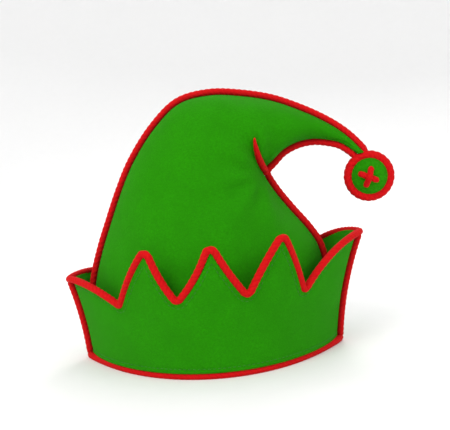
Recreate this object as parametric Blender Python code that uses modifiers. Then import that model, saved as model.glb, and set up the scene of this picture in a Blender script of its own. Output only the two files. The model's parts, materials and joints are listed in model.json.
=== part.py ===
"""A felt elf hat: a crown of two panels whose tail droops to a padded button, a cuff cut into
teeth, and cord piping in every seam and along every edge.

Lengths are in millimetres and become metres where an object is made. The front faces -Y, the
tail droops towards +X, and the hem stands on Z = 0.
"""
from collections import namedtuple
from math import acos, atan2, cos, pi, radians, sin

import bmesh
import bpy
import numpy as np
from mathutils import Vector

MM = 0.001

# Opening, measured to the centre of the hem cord. A pinch of 1 is an ellipse, and more draws
# the front and the back together towards the side seams.
HEM_HALF_WIDTH = 112.5
HEM_HALF_DEPTH = 93.0
HEM_PINCH_POWER = 1.5

# Crown and drooping tail
CROWN_HEIGHT = 224.5
TAIL_LENGTH = 85.0
CREASE_DEPTH = 4.0
CREASE_WIDTH = 6.5

# Cuff, to the centre of the cord on its tall teeth
CUFF_HEIGHT = 112.0
SIDE_FLARE = 29.0
FRONT_FLARE = 15.0

# Felt, cord and clearances
CROWN_WALL = 2.2
CUFF_WALL = 2.6
LAYER_GAP = 0.9
CORD_RADIUS = 2.6
TAIL_CORD_SHARE = 0.75
GAP = 0.3
FACET_GAP = 0.6
SEAM_LAND = 1.0

# Button at the end of the tail
BUTTON_RADIUS = 19.2
BUTTON_THICKNESS = 20.0
CROSS_LENGTH = 19.5
CROSS_CORD_RADIUS = 2.4
CROSS_ANGLES = (radians(-24), radians(71))

# How finely the soft shapes are divided
SECTION_STEPS = 2
ROUND_STEPS = 12
CUFF_ROWS = 3
CREASE_STEPS = 3
ARC_STEPS = 4
FLANK_STEPS = 3
FLANK_SPACING = 12.0
SEAM_STEPS = 8
HEM_STEPS = 48
RING_STEPS = 24
PAD_SEGMENTS = 20
PAD_RINGS = 8
CORD_SIDES = 8

# Crown sections below the bend: ends of each section on the over line (left and top) and the
# under line (right), as shares of the crown's half width and height, its half depth as a share
# of the hem's, and how far it has eased from the hem's plan (0) to an ellipse (1)
BodyRow = namedtuple("BodyRow", "over_x over_z under_x under_z depth ease")
BODY_ROWS = (
    BodyRow(-1.000, 0.000, 1.000, 0.000, 1.000, 0.00),
    BodyRow(-0.994, 0.143, 0.988, 0.143, 0.990, 0.10),
    BodyRow(-0.963, 0.281, 0.966, 0.252, 0.950, 0.32),
    BodyRow(-0.886, 0.408, 0.915, 0.376, 0.875, 0.55),
    BodyRow(-0.790, 0.527, 0.835, 0.443, 0.775, 0.78),
    BodyRow(-0.675, 0.658, 0.701, 0.525, 0.675, 0.95),
    BodyRow(-0.567, 0.759, 0.583, 0.603, 0.600, 1.00),
)

# Sections that fan round the crease: only the over line moves on
BendRow = namedtuple("BendRow", "over_x over_z depth")
BEND_ROWS = (
    BendRow(-0.375, 0.885, 0.545),
    BendRow(-0.159, 0.975, 0.495),
    BendRow(0.099, 1.000, 0.455),
)

# Tail sections: X as shares of the tail's length from the crease, Z of the crown's height
TailRow = namedtuple("TailRow", "over_x over_z under_x under_z depth")
TAIL_ROWS = (
    TailRow(-0.171, 0.989, 0.104, 0.724, 0.410),
    TailRow(0.135, 0.963, 0.215, 0.764, 0.335),
    TailRow(0.382, 0.925, 0.370, 0.792, 0.230),
    TailRow(0.604, 0.882, 0.536, 0.802, 0.150),
    TailRow(0.777, 0.840, 0.697, 0.794, 0.098),
    TailRow(0.909, 0.798, 0.833, 0.777, 0.064),
    TailRow(1.045, 0.741, 0.985, 0.733, 0.041),
)

# The corner where the side of the crown meets the underside of the tail
CREASE_X_SHARE = 0.488
CREASE_Z_SHARE = 0.685
CREASE_SIDE_ANGLE = radians(119)
CREASE_TAIL_ANGLE = radians(44)

# The crease across each panel: row of the section it crosses, share of the way from the under
# line to the over line, and shares of the full cord radius and of the full dent there
CreaseRow = namedtuple("CreaseRow", "row share thickness dent")
CREASE_ROWS = (
    CreaseRow(7.60, 0.002, 1.00, 0.00),
    CreaseRow(8.50, 0.006, 1.00, 0.25),
    CreaseRow(8.65, 0.030, 1.00, 0.60),
    CreaseRow(8.88, 0.082, 1.00, 1.00),
    CreaseRow(9.10, 0.160, 0.90, 1.00),
    CreaseRow(9.30, 0.250, 0.70, 0.80),
    CreaseRow(9.45, 0.330, 0.50, 0.50),
    CreaseRow(9.60, 0.400, 0.30, 0.20),
)

# Cuff edge from the left seam to the right seam: share of the way round the front, share of the
# cuff's height, and how far the edge up to the next point bows out, as a share of its length
EdgeRow = namedtuple("EdgeRow", "share height bow")
EDGE_ROWS = (
    EdgeRow(0.000, 0.640, 0.085),
    EdgeRow(0.250, 0.518, 0.018),
    EdgeRow(0.371, 0.968, -0.070),
    EdgeRow(0.421, 0.565, -0.070),
    EdgeRow(0.507, 1.000, -0.042),
    EdgeRow(0.593, 0.571, 0.010),
    EdgeRow(0.667, 1.000, 0.012),
    EdgeRow(0.762, 0.524, 0.135),
    EdgeRow(1.000, 0.865, 0.000),
)

# How the cuff leans out: shares of its flare that grow with the height and with its square
FLARE_LEAN = 0.23
FLARE_CURL = 1 - FLARE_LEAN
CORNER_POWER = 12
ARC_HEIGHT_SHARE = 0.6
ARC_SAMPLES = 721
SAME_PLACE = 0.001
WELD_DISTANCE = 0.01

GREEN = (0.0185, 0.2623, 0.0)
RED = (0.679, 0.0048, 0.007)
FELT_ROUGHNESS = 0.92
CORD_ROUGHNESS = 0.75

# Sizes that follow from those above
CORD_OFFSET = CORD_RADIUS + GAP
EDGE_OFFSET = CORD_OFFSET + FACET_GAP
HEM_CORD_TOP = 2 * CORD_RADIUS * cos(pi / CORD_SIDES)
FELT_FOOT = HEM_CORD_TOP + GAP
LAYERS = CROWN_WALL + LAYER_GAP + CUFF_WALL
CUFF_HALF_WIDTH = HEM_HALF_WIDTH - EDGE_OFFSET
CUFF_HALF_DEPTH = HEM_HALF_DEPTH + LAYERS / 2
CROWN_HALF_WIDTH = CUFF_HALF_WIDTH - CUFF_WALL - LAYER_GAP
CROWN_HALF_DEPTH = CUFF_HALF_DEPTH - CUFF_WALL - LAYER_GAP
CREASE_RADIUS = 2 * CORD_RADIUS + GAP + FACET_GAP
TAIL_END_HALF_HEIGHT = 1.3 * CROWN_WALL
TAIL_END_HALF_DEPTH = 1.6 * CROWN_WALL + SEAM_LAND
CORD_END_GAP = GAP + TAIL_CORD_SHARE * CORD_RADIUS
PAD_RADIUS = BUTTON_RADIUS - CORD_OFFSET
RING_RADIUS = BUTTON_RADIUS + CORD_RADIUS
FRONT, BACK = -1, 1


def unit(vector):
    return vector / np.linalg.norm(vector)


def at_angle(angle, length=1.0):
    return length * np.array([cos(angle), sin(angle)])


def through(points, steps):
    """A smooth curve through the points, in `steps` pieces from each to the next."""
    points = np.asarray(points, float)
    first = 2 * points[0] - points[1]
    last = 2 * points[-1] - points[-2]
    held = np.vstack([first, points, last])
    spans = np.sqrt(np.linalg.norm(np.diff(held, axis=0), axis=1))
    slopes = np.diff(held, axis=0) / spans[:, None]
    bends = (held[2:] - held[:-2]) / (spans[:-1] + spans[1:])[:, None]
    tangents = slopes[:-1] - bends + slopes[1:]
    curve = []
    for i, span in enumerate(spans[1:-1]):
        start, end = points[i], points[i + 1]
        leaving, arriving = tangents[i] * span, tangents[i + 1] * span
        for u in np.linspace(0, 1, steps, endpoint=False):
            rise = u * u * (3 - 2 * u)
            bow = u * (1 - u)
            curve.append(start + rise * (end - start) + bow * ((1 - u) * leaving - u * arriving))
    curve.append(points[-1])
    return np.array(curve)


def shifted(path, distance):
    """The plane path moved to its left by the distance, which may differ from point to point."""
    along = np.gradient(path, axis=0)
    along /= np.linalg.norm(along, axis=1)[:, None]
    left = np.stack([-along[:, 1], along[:, 0]], axis=1)
    return path + left * np.reshape(distance, (-1, 1))


def lens(angle, pinch):
    """Shares of the half width and half depth: 0 is the left seam and half a turn the right one."""
    return -cos(angle), np.sign(sin(angle)) * abs(sin(angle)) ** pinch


# Crown

def crown_height(share):
    return FELT_FOOT + share * (CROWN_HEIGHT - FELT_FOOT)


def crease_corner():
    return np.array([CREASE_X_SHARE * CROWN_HALF_WIDTH, crown_height(CREASE_Z_SHARE)])


def corner_arc(share):
    """A point on the round corner of the under line, from the crown's side (0) to the tail (1)."""
    turn = CREASE_SIDE_ANGLE - CREASE_TAIL_ANGLE
    inward = (CREASE_SIDE_ANGLE + CREASE_TAIL_ANGLE - pi) / 2
    centre = crease_corner() + at_angle(inward, CREASE_RADIUS / cos(turn / 2))
    return centre + at_angle(CREASE_SIDE_ANGLE + pi / 2 - share * turn, CREASE_RADIUS)


def table_lines():
    """Ends on the over and under lines, half depth share and ease of each row of the tables."""
    over, under, depth, ease = [], [], [], []
    for row in BODY_ROWS:
        over.append((row.over_x * CROWN_HALF_WIDTH, crown_height(row.over_z)))
        under.append((row.under_x * CROWN_HALF_WIDTH, crown_height(row.under_z)))
        depth.append(row.depth)
        ease.append(row.ease)
    for number, row in enumerate(BEND_ROWS):
        over.append((row.over_x * CROWN_HALF_WIDTH, crown_height(row.over_z)))
        under.append(corner_arc(number / (len(BEND_ROWS) - 1)))
        depth.append(row.depth)
        ease.append(1)
    crease_x = crease_corner()[0]
    for row in TAIL_ROWS:
        over.append((crease_x + row.over_x * TAIL_LENGTH, crown_height(row.over_z)))
        under.append((crease_x + row.under_x * TAIL_LENGTH, crown_height(row.under_z)))
        depth.append(row.depth)
        ease.append(1)
    return over, under, depth, ease


class Crown:
    """The outer face of the felt, in sections from the hem (row 0) to the end of the tail."""

    def __init__(self, steps):
        over, under, depth, ease = table_lines()
        over, under = through(over, steps), through(under, steps)
        middle, half = (over + under) / 2, (under - over) / 2
        length = np.linalg.norm(half, axis=1)[:, None]
        half *= np.maximum(length, TAIL_END_HALF_HEIGHT) / length
        self.over, self.under = middle - half, middle + half
        depth = through(list(enumerate(depth)), steps)[:, 1] * CROWN_HALF_DEPTH
        self.depth = np.maximum(depth, TAIL_END_HALF_DEPTH)
        ease = through(list(enumerate(ease)), steps)[:, 1]
        self.pinch = HEM_PINCH_POWER + (1 - HEM_PINCH_POWER) * ease
        self.rows = np.arange(len(over)) / steps
        creased = [self.smooth_point(c.row, crease_angle(c.share)) for c in CREASE_ROWS]
        self.crease = through(creased, CREASE_STEPS)
        numbers = np.arange(len(self.crease)) / CREASE_STEPS
        self.dents = np.interp(numbers, np.arange(len(CREASE_ROWS)), [c.dent for c in CREASE_ROWS])

    def section(self, row):
        """Middle and half length of the section at a row, which may lie between two."""
        over, under = (
            np.array([np.interp(row, self.rows, line[:, axis]) for axis in (0, 1)])
            for line in (self.over, self.under)
        )
        return (over + under) / 2, (under - over) / 2

    def smooth_point(self, row, angle):
        """A point on the back panel: angle 0 is the over line and half a turn the under line."""
        middle, half = self.section(row)
        across, out = lens(angle, np.interp(row, self.rows, self.pinch))
        x, z = middle + across * half
        edge = GAP / 2 + SEAM_LAND
        return np.array([x, edge + out * (np.interp(row, self.rows, self.depth) - edge), z])

    def point(self, row, angle):
        """The same point, drawn in towards the middle of the section along the crease."""
        point = self.smooth_point(row, angle)
        distance = np.linalg.norm(self.crease - point, axis=1) / CREASE_WIDTH
        dent = CREASE_DEPTH * (self.dents * np.exp(-(distance**2))).max()
        x, z = self.section(row)[0]
        return point - dent * unit(point - np.array([x, 0, z]))

    def outward(self, row, angle):
        """The outward direction of the panel at a point."""
        step = 0.05
        along = self.point(row + step, angle) - self.point(row - step, angle)
        across = self.point(row, angle + step) - self.point(row, angle - step)
        return unit(np.cross(along, across))

    def grid(self):
        """Points of the back panel: a row for each section, a column for each angle."""
        angles = np.linspace(0, pi, ROUND_STEPS + 1)
        grid = np.array([[self.point(row, angle) for angle in angles] for row in self.rows])
        return with_seam_edges(grid)


def crease_angle(share):
    """Where a share of the way from the under line to the over line lies on a round section."""
    return acos(2 * share - 1)


def with_seam_edges(grid):
    """The grid with a narrow flat strip along both seams, up to half the gap between the panels."""
    first, last = grid[:, :1].copy(), grid[:, -1:].copy()
    first[..., 1] = GAP / 2
    last[..., 1] = GAP / 2
    return np.concatenate([first, grid, last], axis=1)


# Cuff

def flare(height):
    """Share of the full flare at a height: the felt leans out more and more."""
    share = height / CUFF_HEIGHT
    return share * (FLARE_LEAN + FLARE_CURL * share)


def cuff_point(angle, height, inset, edge=0.0, corner=0.0):
    """A point at the back of the cuff, `inset` in from its outer face: angle 0 is the left seam
    and half a turn the right one, and the corners reach further out at both."""
    half_width = CUFF_HALF_WIDTH + SIDE_FLARE * flare(height) - inset
    half_depth = CUFF_HALF_DEPTH + FRONT_FLARE * flare(height) - inset
    across, out = lens(angle, HEM_PINCH_POWER)
    reach = corner * cos(angle) * abs(cos(angle)) ** (CORNER_POWER - 1)
    return np.array([across * half_width - reach, edge + out * (half_depth - edge), height])


class CuffRound:
    """The way round the cuff: its front from the left seam to the right, then its back."""

    def __init__(self):
        self.angles = np.linspace(0, pi, ARC_SAMPLES)
        height = CUFF_HEIGHT * ARC_HEIGHT_SHARE
        points = np.array([cuff_point(angle, height, CUFF_WALL / 2) for angle in self.angles])
        steps = np.linalg.norm(np.diff(points, axis=0), axis=1)
        self.lengths = np.concatenate([[0.0], np.cumsum(steps)])
        self.half = self.lengths[-1]

    def point(self, length, height, inset, edge=0.0, corner=0.0):
        side = FRONT if 0 <= length <= self.half else BACK
        length = abs(length) if length < self.half else 2 * self.half - length
        angle = np.interp(length, self.lengths, self.angles)
        x, y, z = cuff_point(angle, height, inset, edge, corner)
        return np.array([x, side * y, z])


def left_of(vector):
    return np.array([-vector[1], vector[0]])


def turned(vector, angle):
    return cos(angle) * vector + sin(angle) * left_of(vector)


def turn_between(arrive, leave):
    return atan2(arrive[0] * leave[1] - arrive[1] * leave[0], arrive @ leave)


def edge_corners(half_round):
    """Tips and dips of the cuff's edge laid out flat, all the way round, and the bow after each."""
    front = [(row.share * half_round, row.height * CUFF_HEIGHT) for row in EDGE_ROWS]
    back = [(2 * half_round - length, height) for length, height in front[-2:0:-1]]
    bows = [row.bow for row in EDGE_ROWS[:-1]]
    return np.array(front + back), bows + bows[::-1]


def edge_paths(half_round):
    """The cord's centre line and the felt's edge under it, laid out flat, all the way round."""
    corners, bows = edge_corners(half_round)
    whole = np.array([2 * half_round, 0.0])
    around = np.vstack([corners[-1] - whole, corners, corners[0] + whole])
    cord, felt = [], []
    for i, corner in enumerate(corners):
        before, after = around[i], around[i + 2]
        straight = unit(after - corner)
        arrive = unit(corner - before)
        arrive = unit(arrive - 4 * bows[i - 1] * left_of(arrive))
        leave = unit(straight + 4 * bows[i] * left_of(straight))
        turn = turn_between(arrive, leave)
        is_tip = turn < 0
        centre = corner + unit(leave - arrive) * EDGE_OFFSET / cos(turn / 2)
        spoke = left_of(arrive) if is_tip else -left_of(arrive)
        for share in np.linspace(0, 1, ARC_STEPS + 1):
            cord.append(centre + EDGE_OFFSET * turned(spoke, share * turn))
            if not is_tip:
                felt.append(centre + 2 * EDGE_OFFSET * turned(spoke, share * turn))
        if is_tip:
            felt.append(centre)
        length = np.linalg.norm(after - corner)
        pieces = max(FLANK_STEPS, int(length / FLANK_SPACING))
        for share in np.arange(1, pieces) / pieces:
            bow = 4 * bows[i] * share * (1 - share)
            point = corner + length * (share * straight + bow * left_of(straight))
            slope = unit(straight + 4 * bows[i] * (1 - 2 * share) * left_of(straight))
            cord.append(point)
            felt.append(point - EDGE_OFFSET * left_of(slope))
    return np.array(cord), np.array(felt)


def cuff_grid(cuff_round, felt_edge):
    """Points of the back of the cuff, a row for each height, under the felt's edge."""
    edge = GAP / 2 + SEAM_LAND
    within = (felt_edge[:, 0] > -SAME_PLACE) & (felt_edge[:, 0] < cuff_round.half + SAME_PLACE)
    columns = felt_edge[within]
    columns = columns[np.argsort(columns[:, 0])]
    columns[:, 0] = np.clip(columns[:, 0], 0, cuff_round.half)
    rows = []
    for share in np.linspace(0, 1, CUFF_ROWS + 1):
        row = []
        for length, top in columns:
            height = FELT_FOOT + share * (top - FELT_FOOT)
            x, y, z = cuff_round.point(length, height, 0.0, edge)
            row.append((x, abs(y), z))
        rows.append(row)
    return with_seam_edges(np.array(rows))


# Objects

def new_material(name, colour, roughness):
    material = bpy.data.materials.new(name)
    material.use_nodes = True
    shader = material.node_tree.nodes["Principled BSDF"]
    shader.inputs["Base Color"].default_value = (*colour, 1)
    shader.inputs["Roughness"].default_value = roughness
    shader.inputs["Metallic"].default_value = 0
    return material


def add_object(name, data, collection, colour, roughness):
    obj = bpy.data.objects.new(name, data)
    data.materials.append(new_material(name + "_finish", colour, roughness))
    collection.objects.link(obj)
    return obj


def add_panel(name, grid, side, wall, collection):
    """A felt panel: the outer face as a grid of points at the back, thickened inwards."""
    rows, columns = grid.shape[:2]
    points = grid.reshape(-1, 3) * np.array([1, side, 1]) * MM
    faces = []
    for i in range(rows - 1):
        for j in range(columns - 1):
            corner = i * columns + j
            face = [corner, corner + columns, corner + columns + 1, corner + 1]
            faces.append(face if side == BACK else face[::-1])
    mesh = bpy.data.meshes.new(name)
    mesh.from_pydata(points.tolist(), [], faces)
    mesh.shade_smooth()
    obj = add_object(name, mesh, collection, GREEN, FELT_ROUGHNESS)
    shell = obj.modifiers.new("Felt", "SOLIDIFY")
    shell.thickness = wall * MM
    shell.offset = -1
    shell.use_even_offset = True
    return obj


def add_cord(name, path, radius, collection, shares=None, closed=False, tilt=0.0):
    """A round cord along the path, thinned at each point to a share of its radius."""
    curve = bpy.data.curves.new(name, "CURVE")
    curve.dimensions = "3D"
    curve.bevel_depth = radius * MM
    curve.bevel_resolution = (CORD_SIDES - 4) // 2
    curve.use_fill_caps = True
    spline = curve.splines.new("POLY")
    spline.points.add(len(path) - 1)
    spline.use_cyclic_u = closed
    for i, point in enumerate(path):
        spline.points[i].co = (*(np.asarray(point) * MM), 1)
        spline.points[i].radius = 1.0 if shares is None else shares[i]
        spline.points[i].tilt = tilt
    return add_object(name, curve, collection, RED, CORD_ROUGHNESS)


def in_seam_plane(path):
    """Places an X, Z path on the plane of the side seams."""
    return np.insert(path, 1, 0.0, axis=1)


# Pieces

def up_to(path, centre, distance):
    """The path cut off where it comes within the distance of the centre."""
    away = np.linalg.norm(path - centre, axis=1)
    if away[-1] >= distance:
        return path
    last = np.flatnonzero(away >= distance)[-1]
    share = (away[last] - distance) / (away[last] - away[last + 1])
    end = path[last] + share * (path[last + 1] - path[last])
    return np.vstack([path[: last + 1], end])


def crown_pieces(collection, crown):
    grid = crown.grid()
    add_panel("crown_front", grid, FRONT, CROWN_WALL, collection)
    add_panel("crown_back", grid, BACK, CROWN_WALL, collection)
    tail_start = len(BODY_ROWS) + len(BEND_ROWS)
    shares = np.interp(crown.rows, [tail_start, crown.rows[-1]], [1, TAIL_CORD_SHARE])
    offset = shares * CORD_RADIUS + GAP
    for name, path in (
        ("crown_piping_over", shifted(crown.over, offset)),
        ("crown_piping_under", shifted(crown.under, -offset)),
    ):
        room = CUFF_HALF_WIDTH + SIDE_FLARE * flare(path[:, 1]) - CUFF_WALL
        clear = np.abs(path[:, 0]) + CORD_OFFSET < room
        first = np.flatnonzero(clear)[0]
        path = up_to(path, button_centre(crown), RING_RADIUS + CORD_END_GAP)[first:]
        add_cord(name, in_seam_plane(path), CORD_RADIUS, collection, shares[first:])


def crease_pieces(collection, crown):
    path = []
    for row in CREASE_ROWS:
        angle = crease_angle(row.share)
        rise = CORD_RADIUS * row.thickness + GAP + FACET_GAP
        path.append(crown.point(row.row, angle) + rise * crown.outward(row.row, angle))
    path = through(path, CREASE_STEPS)
    numbers = np.arange(len(path)) / CREASE_STEPS
    shares = np.interp(numbers, np.arange(len(CREASE_ROWS)), [row.thickness for row in CREASE_ROWS])
    for name, side in (("crease_cord_front", FRONT), ("crease_cord_back", BACK)):
        add_cord(name, path * np.array([1, side, 1]), CORD_RADIUS, collection, shares)


def cuff_pieces(collection):
    cuff_round = CuffRound()
    cord_edge, felt_edge = edge_paths(cuff_round.half)
    grid = cuff_grid(cuff_round, felt_edge)
    add_panel("cuff_front", grid, FRONT, CUFF_WALL, collection)
    add_panel("cuff_back", grid, BACK, CUFF_WALL, collection)
    middle = CUFF_WALL / 2
    corner = middle + EDGE_OFFSET
    path = [cuff_round.point(length, height, middle, corner=corner) for length, height in cord_edge]
    add_cord("cuff_edge_piping", path, CORD_RADIUS, collection, closed=True)
    for name, length, row in (
        ("cuff_seam_piping_left", 0.0, EDGE_ROWS[0]),
        ("cuff_seam_piping_right", cuff_round.half, EDGE_ROWS[-1]),
    ):
        top = row.height * CUFF_HEIGHT - EDGE_OFFSET
        path = [
            cuff_round.point(length, height, 0.0, corner=EDGE_OFFSET) * np.array([1, 0, 1])
            for height in np.linspace(FELT_FOOT, top, SEAM_STEPS)
        ]
        add_cord(name, path, CORD_RADIUS, collection)


def hem_piece(collection):
    """The hem cord, whose flat underside stands on the floor beneath both layers of felt."""
    corner = LAYERS / 2 + EDGE_OFFSET
    path = []
    for angle in np.linspace(0, 2 * pi, HEM_STEPS, endpoint=False):
        x, y, _ = cuff_point(angle, 0.0, LAYERS / 2, corner=corner)
        path.append((x, y, HEM_CORD_TOP / 2))
    add_cord("hem_piping", path, CORD_RADIUS, collection, closed=True, tilt=pi / CORD_SIDES)


def button_centre(crown):
    """Where the button hangs, straight on from the end of the tail."""
    over, under = crown.over[-1], crown.under[-1]
    onward = -left_of(unit(over - under))
    return (over + under) / 2 + onward * (RING_RADIUS + GAP + FACET_GAP)


def pad_face(across):
    """How far the pad stands out of the seam plane at a distance from its middle."""
    return BUTTON_THICKNESS / 2 * np.sqrt(1 - (across / PAD_RADIUS) ** 2)


def button_pieces(collection, cutters, centre):
    x, z = centre
    pad = bpy.data.meshes.new("tip_button")
    shape = bmesh.new()
    bmesh.ops.create_uvsphere(
        shape, u_segments=PAD_SEGMENTS, v_segments=PAD_RINGS, radius=PAD_RADIUS * MM
    )
    bmesh.ops.scale(shape, verts=shape.verts, vec=(1, 1, BUTTON_THICKNESS / 2 / PAD_RADIUS))
    shape.to_mesh(pad)
    shape.free()
    pad.shade_smooth()
    obj = add_object("tip_button", pad, collection, GREEN, FELT_ROUGHNESS)
    obj.location = (x * MM, 0, z * MM)
    obj.rotation_euler = (pi / 2, 0, 0)
    spokes = [at_angle(angle) for angle in np.linspace(0, 2 * pi, RING_STEPS, endpoint=False)]
    ring = in_seam_plane(np.array([centre + BUTTON_RADIUS * spoke for spoke in spokes]))
    add_cord("button_piping", ring, CORD_RADIUS, collection, closed=True)
    cross, other = (cross_arm(centre, angle, collection) for angle in CROSS_ANGLES)
    cross.name = "button_cross"
    other.name = "button_cross_arm"
    collection.objects.unlink(other)
    cutters.objects.link(other)
    other.hide_render = True
    other.display_type = "WIRE"
    join = cross.modifiers.new("Arm", "BOOLEAN")
    join.operation = "UNION"
    join.object = other


def cross_arm(centre, angle, collection):
    """One arm of the cross as a mesh, laid over the front of the pad and rounded at its ends."""
    reach = CROSS_LENGTH / 2
    rounding = CROSS_CORD_RADIUS / reach
    shares = np.array([-1, -1 + rounding / 2, -1 + rounding, 0, 1 - rounding, 1 - rounding / 2, 1])
    thickness = [0.35, 0.85, 1, 1, 1, 0.85, 0.35]
    path = []
    for across in shares * reach:
        x, z = centre + at_angle(angle, across)
        path.append((x, FRONT * (pad_face(across) + CROSS_CORD_RADIUS + GAP), z))
    curve = add_cord("arm", path, CROSS_CORD_RADIUS, collection, thickness)
    bpy.context.view_layer.update()
    graph = bpy.context.evaluated_depsgraph_get()
    mesh = bpy.data.meshes.new_from_object(curve.evaluated_get(graph))
    shape = bmesh.new()
    shape.from_mesh(mesh)
    bmesh.ops.remove_doubles(shape, verts=shape.verts, dist=WELD_DISTANCE * MM)
    shape.to_mesh(mesh)
    shape.free()
    mesh.materials.clear()
    arm = add_object("arm_mesh", mesh, collection, RED, CORD_ROUGHNESS)
    arm.matrix_world = curve.matrix_world
    bpy.data.objects.remove(curve)
    return arm


def stand_on_origin(objects, helpers):
    """Moves everything so that the origin is the bottom centre of the whole hat."""
    bpy.context.view_layer.update()
    graph = bpy.context.evaluated_depsgraph_get()
    corners = []
    for obj in objects:
        shown = obj.evaluated_get(graph)
        mesh = shown.to_mesh()
        corners += [shown.matrix_world @ vertex.co for vertex in mesh.vertices]
        shown.to_mesh_clear()
    corners = np.array(corners)
    low, high = corners.min(axis=0), corners.max(axis=0)
    shift = Vector((-(low[0] + high[0]) / 2, -(low[1] + high[1]) / 2, -low[2]))
    for obj in [*objects, *helpers]:
        obj.location = obj.location + shift


def main():
    for obj in list(bpy.data.objects):
        bpy.data.objects.remove(obj)
    hat = bpy.data.collections.new("elf_hat")
    cutters = bpy.data.collections.new("helpers")
    for collection in (hat, cutters):
        bpy.context.scene.collection.children.link(collection)
    crown = Crown(SECTION_STEPS)
    crown_pieces(hat, crown)
    crease_pieces(hat, crown)
    cuff_pieces(hat)
    hem_piece(hat)
    button_pieces(hat, cutters, button_centre(crown))
    stand_on_origin(list(hat.objects), list(cutters.objects))


main()
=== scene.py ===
import json
from collections import namedtuple
from math import acos, cos, pi, radians, sin

import bpy
import numpy as np
from mathutils import Matrix, Vector, noise

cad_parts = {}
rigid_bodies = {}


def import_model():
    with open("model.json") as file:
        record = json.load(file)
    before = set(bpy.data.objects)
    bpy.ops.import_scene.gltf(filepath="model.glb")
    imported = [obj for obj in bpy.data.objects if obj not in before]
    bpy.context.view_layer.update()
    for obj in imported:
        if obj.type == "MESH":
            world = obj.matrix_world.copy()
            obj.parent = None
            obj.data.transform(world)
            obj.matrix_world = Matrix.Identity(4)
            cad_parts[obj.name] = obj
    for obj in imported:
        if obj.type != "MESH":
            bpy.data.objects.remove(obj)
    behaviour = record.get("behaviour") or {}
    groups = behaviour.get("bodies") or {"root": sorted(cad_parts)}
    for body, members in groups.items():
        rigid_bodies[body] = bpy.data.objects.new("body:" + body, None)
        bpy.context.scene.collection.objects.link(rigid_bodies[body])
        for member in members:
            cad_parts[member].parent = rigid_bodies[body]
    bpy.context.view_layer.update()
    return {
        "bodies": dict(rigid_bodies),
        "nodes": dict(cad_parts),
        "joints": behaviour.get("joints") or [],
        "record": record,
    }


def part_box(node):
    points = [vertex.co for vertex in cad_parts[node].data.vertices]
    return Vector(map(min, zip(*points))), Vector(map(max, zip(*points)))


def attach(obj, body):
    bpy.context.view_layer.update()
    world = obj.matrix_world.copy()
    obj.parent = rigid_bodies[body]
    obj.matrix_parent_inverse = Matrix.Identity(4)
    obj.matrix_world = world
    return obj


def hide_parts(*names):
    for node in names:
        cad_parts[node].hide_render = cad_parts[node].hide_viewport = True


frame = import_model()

# A felt elf hat. Lengths are in millimetres and become metres where an object is made. The hat
# is worked out with X = 0 at the middle of its hem, and then moved to the frame's hem.
MM = 0.001
HEM_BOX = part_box("hem_piping")
HAT_MIDDLE = (HEM_BOX[0].x + HEM_BOX[1].x) / 2 / MM

# Sizes of the frame's pieces
HEM_HALF_WIDTH = 112.5
HEM_HALF_DEPTH = 93.0
HEM_PINCH_POWER = 1.5
CROWN_HEIGHT = 224.5
TAIL_LENGTH = 85.0
CREASE_DEPTH = 4.0
CREASE_WIDTH = 6.5
CUFF_HEIGHT = 112.0
SIDE_FLARE = 29.0
FRONT_FLARE = 15.0
CROWN_WALL = 2.2
CUFF_WALL = 2.6
LAYER_GAP = 0.9
CORD_RADIUS = 2.6
BUTTON_RADIUS = 19.2
BUTTON_THICKNESS = 20.0
CROSS_ANGLES = (radians(-24), radians(71))
GAP = 0.3
FACET_GAP = 0.6
SEAM_LAND = 1.0
FRAME_CORD_SIDES = 8

# Crown sections below the bend: ends of each section on the over line (left and top) and the
# under line (right), as shares of the crown's half width and height, its half depth as a share
# of the hem's, and how far it has eased from the hem's plan (0) to an ellipse (1)
BodyRow = namedtuple("BodyRow", "over_x over_z under_x under_z depth ease")
BODY_ROWS = (
    BodyRow(-1.000, 0.000, 1.000, 0.000, 1.000, 0.00),
    BodyRow(-0.994, 0.143, 0.988, 0.143, 0.990, 0.10),
    BodyRow(-0.963, 0.281, 0.966, 0.252, 0.950, 0.32),
    BodyRow(-0.886, 0.408, 0.915, 0.376, 0.875, 0.55),
    BodyRow(-0.790, 0.527, 0.835, 0.443, 0.775, 0.78),
    BodyRow(-0.675, 0.658, 0.701, 0.525, 0.675, 0.95),
    BodyRow(-0.567, 0.759, 0.583, 0.603, 0.600, 1.00),
)

# Sections that fan round the crease: only the over line moves on
BendRow = namedtuple("BendRow", "over_x over_z depth")
BEND_ROWS = (
    BendRow(-0.375, 0.885, 0.545),
    BendRow(-0.159, 0.975, 0.495),
    BendRow(0.099, 1.000, 0.455),
)

# Tail sections: X as shares of the tail's length from the crease, Z of the crown's height
TailRow = namedtuple("TailRow", "over_x over_z under_x under_z depth")
TAIL_ROWS = (
    TailRow(-0.171, 0.989, 0.104, 0.724, 0.410),
    TailRow(0.135, 0.963, 0.215, 0.764, 0.335),
    TailRow(0.382, 0.925, 0.370, 0.792, 0.230),
    TailRow(0.604, 0.882, 0.536, 0.802, 0.150),
    TailRow(0.777, 0.840, 0.697, 0.794, 0.098),
    TailRow(0.909, 0.798, 0.833, 0.777, 0.064),
    TailRow(1.045, 0.741, 0.985, 0.733, 0.041),
)

# The corner where the side of the crown meets the underside of the tail
CREASE_X_SHARE = 0.488
CREASE_Z_SHARE = 0.685
CREASE_SIDE_ANGLE = radians(119)
CREASE_TAIL_ANGLE = radians(44)

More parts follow.
